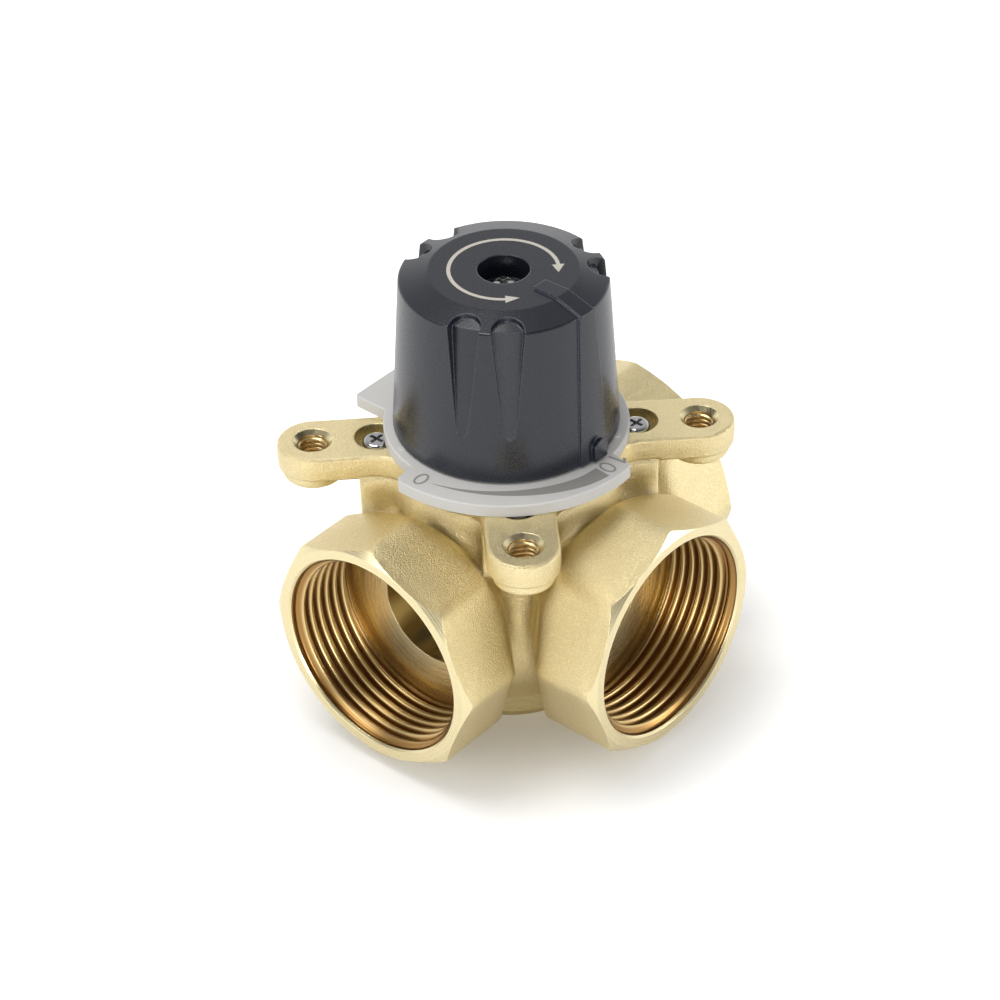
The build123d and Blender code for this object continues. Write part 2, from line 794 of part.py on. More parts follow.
with BuildPart() as knob:
    with BuildSketch(Plane.XZ) as knob_half:
        with BuildLine():
            Polyline(
                (0, knob_bottom),
                (knob_bottom_radius, knob_bottom),
                (knob_rim_radius, knob_rim),
                (knob_crown_radius, knob_top),
                (0, knob_top),
                close=True,
            )
        make_face()
        rim_corner = knob_half.vertices().sort_by_distance((knob_rim_radius, knob_rim))[0]
        fillet(rim_corner, knob_rim_rounding)
    revolve(axis=Axis.Z)
    add(pointer.part)
    with BuildSketch(Plane.XZ) as nib_face:
        with Locations((knob_bottom_radius * sin(radians(nib_angle)), knob_bottom)):
            Rectangle(nib_width, nib_height, align=(Align.CENTER, Align.MIN))
        fillet(nib_face.vertices().group_by(Axis.Y)[-1], nib_edge_radius)
    extrude(amount=knob_bottom_radius + nib_rise)
    for pair_angle in groove_angles:
        for side in (-groove_half_spread, groove_half_spread):
            with Locations(Rotation(0, 0, pair_angle + side)):
                add(groove.part, mode=Mode.SUBTRACT)
    # Hollow underside round the hub, which seats on the stop disc's hexagon
    with BuildSketch(Plane.XZ):
        with BuildLine():
            Polyline(
                (hub_radius, knob_bottom + hub_start),
                (hub_radius, cavity_roof),
                (cavity_top_radius, cavity_roof),
                (knob_bottom_radius - knob_wall, knob_bottom),
                (0, knob_bottom),
                (0, knob_bottom + hub_start),
                close=True,
            )
        make_face()
    revolve(axis=Axis.Z, mode=Mode.SUBTRACT)
    with BuildSketch(Plane.XY.offset(knob_bottom + hub_start)):
        RegularPolygon(hexagon_size / 2 + key_gap, 6, major_radius=False)
    extrude(amount=hexagon_top - knob_bottom - hub_start, mode=Mode.SUBTRACT)
    with Locations((0, 0, knob_top)):
        CounterBoreHole(screw_through_radius, knob_hole_radius, knob_hole_depth)

knob_screw = pan_head_screw(hole_floor, knob_screw_length)

os.makedirs("parts", exist_ok=True)
pieces = {
    "body": body,
    "cover": cover,
    "cover_ring": cover_ring,
    "bush": bush,
    "bush_ring": bush_ring,
    "pivot_bush": pivot_bush,
    "dial": dial,
    "stop_pin": stop_pin,
    "slide": slide,
    "shaft": shaft,
    "lower_shaft_ring": shaft_rings[0],
    "upper_shaft_ring": shaft_rings[1],
    "thrust_washer": thrust_washer,
    "retaining_clip": retaining_clip,
    "stop_disc": stop_disc,
    "knob": knob,
    "knob_screw": knob_screw,
}
for corner_name, angle in corner_names.items():
    with BuildPart() as placed_screw:
        with Locations(around(angle, screw_reach, 0)):
            add(cover_screw.part)
    pieces[f"cover_screw_{corner_name}"] = placed_screw
for name, piece in pieces.items():
    piece.part.label = name
    export_step(piece.part, f"parts/{name}.step")
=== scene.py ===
"""Finish, threads, dial print and studio for a three-way rotary valve.

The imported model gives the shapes. This script gives each of them its material, cuts the threads
that the model leaves as plain bores, prints the dial and sets the camera and the lights.
"""

import json
from math import cos, pi, radians, sin, tau

import bmesh
import bpy
from bpy.props import FloatProperty, FloatVectorProperty, IntProperty, PointerProperty
from mathutils import Matrix, Vector


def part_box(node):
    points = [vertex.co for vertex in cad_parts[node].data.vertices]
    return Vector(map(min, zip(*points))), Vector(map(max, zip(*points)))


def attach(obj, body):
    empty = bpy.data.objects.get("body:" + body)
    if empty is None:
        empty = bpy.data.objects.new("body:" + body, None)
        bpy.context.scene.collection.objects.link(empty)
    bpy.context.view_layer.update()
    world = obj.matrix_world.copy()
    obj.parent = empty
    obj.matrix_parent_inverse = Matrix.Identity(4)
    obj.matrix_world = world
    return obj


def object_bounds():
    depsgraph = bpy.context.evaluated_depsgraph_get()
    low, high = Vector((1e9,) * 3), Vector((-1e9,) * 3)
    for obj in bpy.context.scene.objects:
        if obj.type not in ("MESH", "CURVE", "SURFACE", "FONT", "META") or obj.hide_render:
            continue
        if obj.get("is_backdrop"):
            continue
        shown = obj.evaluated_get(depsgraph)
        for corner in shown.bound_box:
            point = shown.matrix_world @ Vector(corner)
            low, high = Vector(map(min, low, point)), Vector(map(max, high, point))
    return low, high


bl_info = {
    "name": "Rotary Valve Finish",
    "version": (1, 0, 0),
    "blender": (4, 5, 0),
    "location": "3D View > Sidebar > Valve",
    "description": "Brass, plastic, threads and dial print of a three-way rotary valve",
    "category": "Object",
}

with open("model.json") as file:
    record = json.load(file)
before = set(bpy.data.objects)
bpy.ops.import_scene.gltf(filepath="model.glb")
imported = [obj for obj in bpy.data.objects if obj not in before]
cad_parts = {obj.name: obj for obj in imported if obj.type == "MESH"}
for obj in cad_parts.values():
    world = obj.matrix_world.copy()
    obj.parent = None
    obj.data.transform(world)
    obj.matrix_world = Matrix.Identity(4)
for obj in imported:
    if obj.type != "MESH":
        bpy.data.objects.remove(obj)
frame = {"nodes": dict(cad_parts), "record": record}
cad_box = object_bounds()
mounts = {mount["name"]: mount for mount in frame["record"]["mounts"]}
mm = 0.001

# Places that the model gives
port_names = ("port_left", "port_right", "port_branch")
port_height = mounts["port_right"]["pos_m"][2]
port_radius = mounts["port_right"]["dims"]["r_mm"] * mm
port_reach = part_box("body")[1].x
body_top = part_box("body")[1].z
cover_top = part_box("cover")[1].z
lug_reach = mounts["lugs"]["dims"]["pcd_mm"] * mm / 2
lug_radius = mounts["lugs"]["dims"]["hole_r_mm"] * mm
lug_angles = (45, 135, 225, 315)

# Sizes of the model that no box gives, and the printed faces that follow from them
lug_thickness = 7.5 * mm
mark_height = 0.2 * mm
pointer_rise = 0.45 * mm
dial_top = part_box("dial")[1].z - mark_height
crown_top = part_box("knob")[1].z - pointer_rise

# Angles on the dial and on the knob's crown
nought_angles = (-179.0, -90.9)
one_angle = -84.0
wedge_angles = (-174.9, -94.7)
arrow_middle_angle = 90
arrow_half_angle = 132

# Part of its 0 to 1 scale that a noise mostly fills
noise_range = (0.3, 0.7)


def colour(name, description, default):
    """Colour property with the wording that every finish uses."""
    return FloatVectorProperty(
        name=name, description=description, subtype="COLOR", size=3, min=0, max=1, default=default
    )


def length(name, description, default):
    """Length property in metres."""
    return FloatProperty(
        name=name, description=description, unit="LENGTH", min=0, default=default, precision=5
    )


def brightness(name, description, default):
    """Property for the power of a lamp or of the sky."""
    return FloatProperty(name=name, description=description, min=0, default=default)


class BrassFinish(bpy.types.PropertyGroup):
    forged: colour("Forged", "Sandblasted skin of the forging", (0.82, 0.69, 0.39))
    turned: colour("Turned", "Faces and seats that a tool has cut", (0.86, 0.745, 0.45))
    threaded: colour("Threaded", "Crests of the threads", (0.82, 0.62, 0.30))
    # Root colour: painted shade in the roots of the port threads
    root: colour("Root", "Roots of the port threads", (0.38, 0.215, 0.07))
    grain: length("Grain", "Size of the blasted pits", 0.27 * mm)
    blast_depth: length("Blast depth", "Depth of the blasted pits", 0.07 * mm)
    body_crease: length("Body crease", "Rounding that the die leaves between the ports", 4.6 * mm)
    cover_crease: length("Cover crease", "Rounding that the die leaves on the cover", 0.5 * mm)


class ThreadSizes(bpy.types.PropertyGroup):
    pipe_pitch: length("Pipe pitch", "Distance between ridges in the ports", 2.309 * mm)
    pipe_crest: length("Pipe crest", "Radius of the ridges in the ports", 19.476 * mm)
    # How deep the painted shade of the roots reaches
    pipe_root_shade: length("Pipe dark", "How far from the bore the root's tone is reached", 0.7 * mm)
    pipe_start: length("Pipe start", "Where the thread begins, from the rotor axis", 25.15 * mm)
    pipe_lead: length("Pipe lead-in", "Smooth length at the port's face", 0.45 * mm)
    lug_pitch: length("Lug pitch", "Distance between ridges in the lugs", 1.0 * mm)
    lug_crest: length("Lug crest", "Radius of the ridges in the lugs", 2.46 * mm)
    lug_start: length("Lug start", "Smooth length at the lug's underside", 0.2 * mm)
    lug_lead: length("Lug lead-in", "Smooth length at the lug's top", 0.8 * mm)
    root_gap: length("Root gap", "Skin between the thread's root and the model's bore", 0.05 * mm)
    steps: IntProperty(name="Steps", description="Facets in one turn", default=96, min=24)


class DialFinish(bpy.types.PropertyGroup):
    plate: colour("Plate", "Moulded plate", (0.595, 0.585, 0.565))
    print: colour("Print", "Scale and numbers", (0.262, 0.258, 0.245))
    print_height: length("Print height", "Thickness of the printed layer", 0.03 * mm)
    middle: length("Middle", "Radius of the scale's middle line", 25.5 * mm)
    number_height: length("Number height", "Height of the numbers", 3.75 * mm)
    number_width: length("Number width", "Width of the nought", 2.5 * mm)
    stroke: length("Stroke", "Width of a number's stroke", 0.45 * mm)
    wedge_width: length("Wedge width", "Width of the scale's band where it ends", 3.5 * mm)
    wedge_bow: length("Wedge bow", "How far the band bends in from the middle line", 0.9 * mm)
    wedge_lift: length("Wedge lift", "How far the band's end lies outside the middle line", 0.25 * mm)


class KnobFinish(bpy.types.PropertyGroup):
    shell: colour("Shell", "Moulded knob", (0.009, 0.011, 0.018))
    grain: length("Grain", "Size of the mould's texture", 0.22 * mm)
    print: colour("Print", "Turning arrow on the crown", (0.50, 0.47, 0.41))
    print_height: length("Print height", "Thickness of the printed layer", 0.03 * mm)
    arrow_radius: length("Arrow radius", "Middle line of the turning arrow", 10.4 * mm)
    arrow_width: length("Arrow width", "Width of the arrow's line", 0.75 * mm)


class MetalFinish(bpy.types.PropertyGroup):
    chrome: colour("Chrome", "Plated screws", (0.62, 0.62, 0.63))
    steel: colour("Steel", "Stop pin and retaining clip", (0.62, 0.62, 0.62))
    slide: colour("Slide", "Turned brass of the slide", (0.92, 0.75, 0.42))


class InnerFinish(bpy.types.PropertyGroup):
    shaft: colour("Shaft", "Shaft and stop disc", (0.10, 0.10, 0.10))
    bearing: colour("Bearing", "Bushes and thrust washer", (0.12, 0.12, 0.12))
    rubber: colour("Rubber", "Sealing rings", (0.03, 0.03, 0.03))


class Studio(bpy.types.PropertyGroup):
    floor: colour("Floor", "Table and background", (0.74, 0.74, 0.74))
    above: brightness("Above", "Power of the lamp overhead", 4.3)
    left: brightness("Left", "Power of the lamp on the left", 2.5)
    right: brightness("Right", "Power of the lamp on the right", 3.2)
    front: brightness("Front", "Power of the lamp by the camera", 3.2)
    sky: brightness("Sky", "Light from all round", 0.52)


# Helpers for node trees


class Graph:
    """Adds and links nodes in a material or in a shader node group."""

    def __init__(self, tree):
        self.tree = tree

    def feed(self, socket, value):
        if isinstance(value, bpy.types.NodeSocket):
            self.tree.links.new(value, socket)
        elif hasattr(socket.default_value, "__len__") and len(socket.default_value) == 4:
            socket.default_value = (*value, 1) if len(value) == 3 else value
        else:
            socket.default_value = value

    def add(self, kind, sockets=None, **settings):
        node = self.tree.nodes.new("ShaderNode" + kind)
        for name, value in settings.items():
            setattr(node, name, value)
        for name, value in (sockets or {}).items():
            self.feed(node.inputs[name], value)
        return node

    def math(self, operation, *values):
        return self.add("Math", dict(enumerate(values)), operation=operation).outputs[0]

    def plus(self, first, second):
        return self.math("ADD", first, second)

    def minus(self, first, second):
        return self.math("SUBTRACT", first, second)

    def times(self, first, second):
        return self.math("MULTIPLY", first, second)

    def larger(self, first, second):
        return self.math("MAXIMUM", first, second)

    def hypotenuse(self, first, second):
        return self.math("SQRT", self.plus(self.times(first, first), self.times(second, second)))

    def above(self, value, limit):
        """Mask of what lies above the limit."""
        return self.math("GREATER_THAN", value, limit)

    def below(self, value, limit):
        """Mask of what lies below the limit."""
        return self.math("LESS_THAN", value, limit)

    def all_of(self, mask, *others):
        """Mask of what lies in every one of the masks."""
        for other in others:
            mask = self.times(mask, other)
        return mask

    def any_of(self, mask, *others):
        """Mask of what lies in at least one of the masks."""
        for other in others:
            mask = self.larger(mask, other)
        return mask

    def blend(self, share, first, second, kind="RGBA"):
        """Mixes two colours or, where the kind is FLOAT, two values."""
        first_input, result = {"RGBA": (6, 2), "FLOAT": (2, 0)}[kind]
        sockets = {0: share, first_input: first, first_input + 1: second}
        return self.add("Mix", sockets, data_type=kind).outputs[result]

    def spread(self, value, low, high, to_low=0, to_high=1):
        """Maps a value from one range to another, with soft ends."""
        sockets = dict(enumerate((value, low, high, to_low, to_high)))
        return self.add("MapRange", sockets, interpolation_type="SMOOTHSTEP").outputs[0]

    def place(self):
        """Position on the piece, in metres, that moves with it."""
        return self.add("TexCoord").outputs["Object"]

    def noise(self, place, scale, detail=2, roughness=0.5):
        sockets = {"Vector": place, "Scale": scale, "Detail": detail, "Roughness": roughness}
        return self.add("TexNoise", sockets).outputs["Fac"]

    def dot(self, first, second):
        node = self.add("VectorMath", {0: first, 1: second}, operation="DOT_PRODUCT")
        return node.outputs["Value"]

    def bevel(self, radius, samples=6):
        """The surface's normal with its edges rounded."""
        return self.add("Bevel", {"Radius": radius}, samples=samples).outputs[0]

    def bump(self, height, depth, strength, normal=None):
        sockets = {"Height": height, "Distance": depth, "Strength": strength}
        if normal is not None:
            sockets["Normal"] = normal
        return self.add("Bump", sockets).outputs[0]

    def shared(self, name, build, sockets):
        """Outputs of the node group of that name, which is built on first use."""
        tree = bpy.data.node_groups.get(name) or build(name)
        return self.add("Group", sockets, node_tree=tree).outputs


def node_group(name, inputs, outputs):
    """Empty shader node group with value or vector sockets; gives its graph, inputs and outputs."""
    tree = bpy.data.node_groups.new(name, "ShaderNodeTree")
    kinds = {"value": "NodeSocketFloat", "vector": "NodeSocketVector"}
    for way, sockets in (("INPUT", inputs), ("OUTPUT", outputs)):
        for socket, kind in sockets.items():
            tree.interface.new_socket(socket, in_out=way, socket_type=kinds[kind])
    entry = tree.nodes.new("NodeGroupInput")
    result = tree.nodes.new("NodeGroupOutput")
    return Graph(tree), entry.outputs, result.inputs


def blasted_grain(name):
    """Pits of a blasted or spark-eroded skin, and the slow drift of tone across it."""
    graph, given, result = node_group(
        name, {"Position": "vector", "Size": "value"}, {"Height": "value", "Tone": "value"}
    )
    coarse_scale, drift_scale = 0.4, 0.03
    fine_share, coarse_share = 0.8, 0.2

    place = given["Position"]
    scale = graph.math("DIVIDE", 1, given["Size"])
    fine = graph.noise(place, scale, detail=2, roughness=0.6)
    coarse = graph.noise(place, graph.times(scale, coarse_scale), detail=1)
    both = graph.plus(graph.times(fine, fine_share), graph.times(coarse, coarse_share))
    graph.feed(result["Height"], graph.spread(both, *noise_range))
    drift = graph.noise(place, graph.times(scale, drift_scale))
    graph.feed(result["Tone"], graph.spread(drift, *noise_range))
    return graph.tree


def painted_edge_highlight(name):
    """Mask for a painted highlight on outer edges, found where a wide rounding turns away from the true
    surface.
    """
    graph, given, result = node_group(name, {"Width": "value"}, {"Edge": "value"})
    flat, turned_away = 0.995, 0.8
    surface = graph.add("NewGeometry").outputs["Normal"]
    agreement = graph.dot(graph.bevel(given["Width"]), surface)
    graph.feed(result["Edge"], graph.spread(agreement, flat, turned_away))
    return graph.tree


def cut_zones(name):
    """Where the brass has been turned or drilled: port faces, bores, seats and holes.

    Each limit lies just outside the cut surface of the model that it is meant to catch.
    """
    graph, given, result = node_group(
        name, {"Position": "vector"}, {"Cut": "value", "Across": "value", "From face": "value"}
    )
    face_skin, foot_skin = 0.06 * mm, 0.1 * mm
    bevel_start, bevel_slope, flange_corner = 23.3 * mm, 0.668, 32.0 * mm
    bore_radius, bore_end = port_radius + 0.45 * mm, 23.0 * mm
    passage_radius, passage_end = 11.5 * mm, 12.0 * mm
    chamber_radius, chamber_floor = 18.05 * mm, 1.0 * mm
    hole_depth, lug_hole_radius = 4.0 * mm, 3.92 * mm
    screw_reach, screw_hole_radius = 25.3 * mm, 4.32 * mm

    split = graph.add("SeparateXYZ", {"Vector": given["Position"]}).outputs
    x, y, z = split["X"], split["Y"], split["Z"]
    side_x, side_y = graph.math("ABSOLUTE", x), graph.math("ABSOLUTE", y)
    rise = graph.minus(z, port_height)
    straight_along, straight_across = side_x, graph.hypotenuse(y, rise)
    branch_along, branch_across = graph.times(y, -1), graph.hypotenuse(x, rise)

    found = [graph.below(z, foot_skin)]
    for along, across in ((straight_along, straight_across), (branch_along, branch_across)):
        past_ring = graph.larger(graph.minus(across, bevel_start), 0)
        depth = graph.plus(along, graph.times(past_ring, bevel_slope))
        at_face = graph.above(depth, port_reach - face_skin)
        found.append(graph.all_of(at_face, graph.below(across, flange_corner)))
        found.append(graph.all_of(graph.below(across, bore_radius), graph.above(along, bore_end)))
        found.append(graph.all_of(graph.below(across, passage_radius), graph.above(along, passage_end)))
    inside = graph.below(graph.hypotenuse(x, y), chamber_radius)
    found.append(graph.all_of(inside, graph.above(z, chamber_floor), graph.below(z, body_top)))
    high = graph.above(z, body_top - hole_depth)
    for away, radius in ((lug_reach, lug_hole_radius), (screw_reach, screw_hole_radius)):
        corner = away * cos(radians(45))
        gap = graph.hypotenuse(graph.minus(side_x, corner), graph.minus(side_y, corner))
        found.append(graph.all_of(graph.below(gap, radius), high))

    graph.feed(result["Cut"], graph.any_of(*found))
    graph.feed(result["Across"], graph.math("MINIMUM", straight_across, branch_across))
    furthest = graph.larger(straight_along, branch_along)
    graph.feed(result["From face"], graph.minus(port_reach, furthest))
    return graph.tree


# Materials


def new_material(name, fixed=None):
    """Material with one Principled shader, some of its sockets fixed; also its graph and sockets."""
    material = bpy.data.materials.new(name)
    material.use_nodes = True
    material.node_tree.nodes.clear()
    graph = Graph(material.node_tree)
    shader = graph.add("BsdfPrincipled", fixed)
    graph.add("OutputMaterial", {"Surface": shader.outputs[0]})
    return material, graph, shader.inputs


def dress(material, *nodes):
    """Puts the material on carried-over nodes of the model."""
    for node in nodes:
        mesh = frame["nodes"][node].data
        mesh.materials.clear()
        mesh.materials.append(material)


def dress_slot(slot, make, *look, **settings):
    """Makes a material and puts it on every node that the record gives this slot."""
    nodes = [part["node"] for part in frame["record"]["subparts"] if part["material_slot"] == slot]
    dress(make(slot, *look, **settings), *nodes)


def toned(base, factor):
    """The colour made darker or lighter, up to full strength."""
    return [min(channel * factor, 1) for channel in base]


def forged_brass(name, finish, crease):
    """Blasted forging with soft creases, painted shade in its pits and a painted highlight on its peaks,
    and the smoother, paler faces that a tool has cut.
    """
    material, graph, shader = new_material(name, {"Metallic": 1})
    pit_shade_tone, peak_highlight_tone, ring_tone = 0.88, 1.08, 0.93
    drift_share, ring_height = 0.12, 0.02
    crisp_until, soft_from, least_rounding = 0.4 * mm, 3.0 * mm, 0.12 * mm

    position = graph.place()
    zones = graph.shared("Cut zones", cut_zones, {"Position": position})
    grain_sockets = {"Position": position, "Size": finish.grain}
    grain = graph.shared("Blasted grain", blasted_grain, grain_sockets)
    cut = zones["Cut"]
    forged = graph.minus(1, cut)
    across = graph.add("CombineXYZ", {"X": zones["Across"]}).outputs[0]
    rings = graph.noise(across, scale=2600, detail=3, roughness=0.6)

    # Pits get a darker copy of the forged colour and peaks a lighter one: painted shade and painted
    # highlight of the grain
    shaded_pit, lit_peak = toned(finish.forged, pit_shade_tone), toned(finish.forged, peak_highlight_tone)
    shaded_and_lit_grain = graph.blend(grain["Height"], shaded_pit, lit_peak)
    forged_skin = graph.blend(graph.times(grain["Tone"], drift_share), shaded_and_lit_grain, finish.turned)
    cut_skin = graph.blend(rings, toned(finish.turned, ring_tone), finish.turned)
    graph.feed(shader["Base Color"], graph.blend(cut, forged_skin, cut_skin))

    forged_rough = graph.spread(grain["Height"], 0, 1, to_low=0.38, to_high=0.28)
    cut_rough = graph.spread(rings, *noise_range, to_low=0.24, to_high=0.34)
    graph.feed(shader["Roughness"], graph.blend(cut, forged_rough, cut_rough, "FLOAT"))

    away_from_face = graph.spread(zones["From face"], crisp_until, soft_from)
    softness = graph.times(graph.times(forged, away_from_face), crease)
    rounded = graph.bevel(graph.plus(softness, least_rounding), samples=8)
    pits = graph.times(grain["Height"], forged)
    lines = graph.times(graph.times(rings, cut), ring_height)
    skin = graph.bump(graph.plus(pits, lines), finish.blast_depth, strength=1, normal=rounded)
    graph.feed(shader["Normal"], skin)
    return material


def threaded_brass(name, finish, bright, root_shade_radius):
    """Brass of a thread: bright at one distance from the nearest port's axis, with painted shade
    darkening it up to another.
    """
    material, graph, shader = new_material(name, {"Metallic": 1})
    mark_share, mark_depth = 0.12, 0.002 * mm

    zones = graph.shared("Cut zones", cut_zones, {"Position": graph.place()})
    place = graph.add("CombineXYZ", {"X": zones["Across"], "Y": zones["From face"]}).outputs[0]
    marks = graph.noise(place, scale=2200)
    # Crest colour at one radius, darkening to the root colour towards the root: painted shade
    flank = graph.blend(graph.spread(zones["Across"], bright, root_shade_radius), finish.threaded, finish.root)
    marked = graph.blend(graph.times(marks, mark_share), flank, finish.root)
    graph.feed(shader["Base Color"], marked)
    graph.feed(shader["Roughness"], graph.spread(marks, *noise_range, to_low=0.27, to_high=0.33))
    graph.feed(shader["Normal"], graph.bump(marks, mark_depth, strength=0.3))
    return material


def moulded_plastic(name, base, grain_size, roughness, edge_gain, rounding=0.25 * mm, gloss=0.5):
    """Moulded part with the mould's fine texture, rounded edges and a painted highlight on them."""
    material, graph, shader = new_material(name, {"Specular IOR Level": gloss})
    edge_width, grain_depth = 0.5 * mm, 0.006 * mm
    drift_tone, rougher = 0.97, 0.08

    grain_sockets = {"Position": graph.place(), "Size": grain_size}
    grain = graph.shared("Blasted grain", blasted_grain, grain_sockets)
    edge = graph.shared("Edge light", painted_edge_highlight, {"Width": edge_width})["Edge"]
    skin = graph.blend(grain["Tone"], toned(base, drift_tone), base)
    # The edges get a lighter copy of the base colour: a painted highlight
    graph.feed(shader["Base Color"], graph.blend(edge, skin, toned(base, 1 + edge_gain)))
    graph.feed(shader["Roughness"], graph.spread(grain["Height"], 0, 1, roughness, roughness + rougher))
    texture = graph.bump(grain["Height"], grain_depth, strength=0.35, normal=graph.bevel(rounding))
    graph.feed(shader["Normal"], texture)
    return material


def print_material(name, ink):
    """Pad-printed ink, a little thinner in places."""
    material, graph, shader = new_material(name)
    thin_tone = 1.12

    speckle = graph.noise(graph.place(), scale=3000)
    graph.feed(shader["Base Color"], graph.blend(speckle, ink, toned(ink, thin_tone)))
    graph.feed(shader["Roughness"], graph.spread(speckle, *noise_range, to_low=0.45, to_high=0.55))
    return material


def plated_metal(name, base, roughness):
    """Bright metal with faint handling marks."""
    material, graph, shader = new_material(name, {"Metallic": 1})
    mark_tone, mark_depth, rougher, rounding = 0.92, 0.002 * mm, 0.08, 0.18 * mm

    marks = graph.noise(graph.place(), scale=700, detail=3, roughness=0.6)
    graph.feed(shader["Base Color"], graph.blend(marks, toned(base, mark_tone), base))
    graph.feed(shader["Roughness"], graph.spread(marks, *noise_range, roughness, roughness + rougher))
    skin = graph.bump(marks, mark_depth, strength=0.2, normal=graph.bevel(rounding))
    graph.feed(shader["Normal"], skin)
    return material


# Meshes


def clamp(value, low, high):
    return min(max(value, low), high)


def polar(radius, degrees):
    """Point round the rotor axis, seen from above."""
    return (radius * cos(radians(degrees)), radius * sin(radians(degrees)))


def piece_from(name, mesh, material, body, smooth=True):
    """Turns a bmesh into a piece that rides on a body and carries the given material."""
    bmesh.ops.recalc_face_normals(mesh, faces=mesh.faces)
    for face in mesh.faces:
        face.smooth = smooth
    data = bpy.data.meshes.new(name)
    mesh.to_mesh(data)
    mesh.free()
    data.materials.append(material)
    piece = bpy.data.objects.new(name, data)
    bpy.context.scene.collection.objects.link(piece)
    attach(piece, body)
    return piece


def thread_profile(share):
    """Height of the ridge, 0 to 1, at a share of the pitch: straight flanks, rounded crest and root."""
    steepness, round_part, straight_part = 1.35, 0.55, 0.45
    slope = 1 - abs(2 * share - 1)
    flank = clamp(steepness * (slope - 0.5) + 0.5, 0, 1)
    return round_part * flank * flank * (3 - 2 * flank) + straight_part * flank


def cut_thread(mesh, axis_place, start, end, root, crest, pitch, steps, fades):
    """Adds an inner thread to the mesh: one ribbon that winds along the local Z axis.

    The ridge rises from the start and sinks towards the end over so many pitches as fades says.
    """
    points, same_place, no_length = 12, 1e-6, 1e-7
    turns = (end - start) / pitch + 1
    ribbon = []
    for column in range(int(turns * steps) + 1):
        angle = tau * column / steps
        line = []
        for point in range(points + 1):
            share = point / points
            along = start - pitch + pitch * (column / steps + share)
            held = clamp(along, start, end)
            fade_in = clamp((held - start) / (pitch * fades[0]), 0, 1)
            fade_out = clamp((end - held) / (pitch * fades[1]), 0, 1)
            radius = root - (root - crest) * thread_profile(share) * fade_in * fade_out
            place = Vector((radius * cos(angle), radius * sin(angle), held))
            line.append(mesh.verts.new(axis_place @ place))
        ribbon.append(line)
    for first, second in zip(ribbon, ribbon[1:]):
        for point in range(points):
            mesh.faces.new((first[point], first[point + 1], second[point + 1], second[point]))
    bmesh.ops.remove_doubles(mesh, verts=mesh.verts, dist=same_place)
    bmesh.ops.dissolve_degenerate(mesh, edges=mesh.edges, dist=no_length)


def print_layer(surface, thickness):
    """Bottom and top of a printed layer, which starts just under the surface."""
    sink = 0.01 * mm
    return surface - sink, surface + thickness


def printed_strip(mesh, outer, inner, layer, closed=False):
    """Adds a flat strip of print between two lines with as many points each."""
    low, high = (
        [[mesh.verts.new((*point, height)) for point in pair] for pair in zip(outer, inner)]
        for height in layer
    )
    count = len(outer)
    for index in range(count if closed else count - 1):
        following = (index + 1) % count
        mesh.faces.new((high[index][0], high[following][0], high[following][1], high[index][1]))
        mesh.faces.new((low[index][0], low[following][0], high[following][0], high[index][0]))
        mesh.faces.new((high[index][1], high[following][1], low[following][1], low[index][1]))
    if not closed:
        for index in (0, count - 1):
            mesh.faces.new((low[index][0], high[index][0], high[index][1], low[index][1]))


def on_dial(degrees, radius, sideways, upwards):
    """Point of a number whose top faces away from the axis."""
    turn = radians(degrees)
    outwards = Vector((cos(turn), sin(turn)))
    along = Vector((sin(turn), -cos(turn)))
    return tuple(outwards * (radius + upwards) + along * sideways)


# Operators, one for each piece or group of like pieces


class VALVE_OT_brass(bpy.types.Operator):
    """Give the body and the cover their forged and turned brass"""

    bl_idname = "valve.brass"
    bl_label = "Forged Brass"

    def execute(self, context):
        finish = context.scene.valve_brass
        for node, crease in (("body", finish.body_crease), ("cover", finish.cover_crease)):
            dress(forged_brass(f"forged_brass_{node}", finish, crease), node)
        return {"FINISHED"}


class VALVE_OT_port_threads(bpy.types.Operator):
    """Cut the pipe thread into each port"""

    bl_idname = "valve.port_threads"
    bl_label = "Port Threads"

    def execute(self, context):
        sizes = context.scene.valve_threads
        finish = context.scene.valve_brass
        root_shade_radius = port_radius - sizes.pipe_root_shade
        material = threaded_brass("port_thread_brass", finish, sizes.pipe_crest, root_shade_radius)
        for name in port_names:
            axis = Vector(mounts[name]["axis"])
            turn = axis.to_track_quat("Z", "Y").to_matrix().to_4x4()
            mesh = bmesh.new()
            cut_thread(
                mesh,
                Matrix.Translation((0, 0, port_height)) @ turn,
                start=sizes.pipe_start,
                end=port_reach - sizes.pipe_lead,
                root=port_radius - sizes.root_gap,
                crest=sizes.pipe_crest,
                pitch=sizes.pipe_pitch,
                steps=sizes.steps,
                fades=(0.5, 0.8),
            )
            piece_from(f"{name}_thread", mesh, material, "valve")
        return {"FINISHED"}


class VALVE_OT_lug_threads(bpy.types.Operator):
    """Cut the screw thread into each lug of the cover"""

    bl_idname = "valve.lug_threads"
    bl_label = "Lug Threads"

    def execute(self, context):
        sizes = context.scene.valve_threads
        finish = context.scene.valve_brass
        # The lugs lie about as far from the ports' axes as from the rotor's, so they stay bright,
        # without the painted shade of the roots
        material = threaded_brass("lug_thread_brass", finish, lug_reach, 2 * lug_reach)
        mesh = bmesh.new()
        for degrees in lug_angles:
            cut_thread(
                mesh,
                Matrix.Translation((*polar(lug_reach, degrees), 0)),
                start=cover_top - lug_thickness + sizes.lug_start,
                end=cover_top - sizes.lug_lead,
                root=lug_radius - sizes.root_gap,
                crest=sizes.lug_crest,
                pitch=sizes.lug_pitch,
                steps=sizes.steps // 2,
                fades=(0.5, 0.5),
            )
        piece_from("lug_threads", mesh, material, "valve")
        return {"FINISHED"}


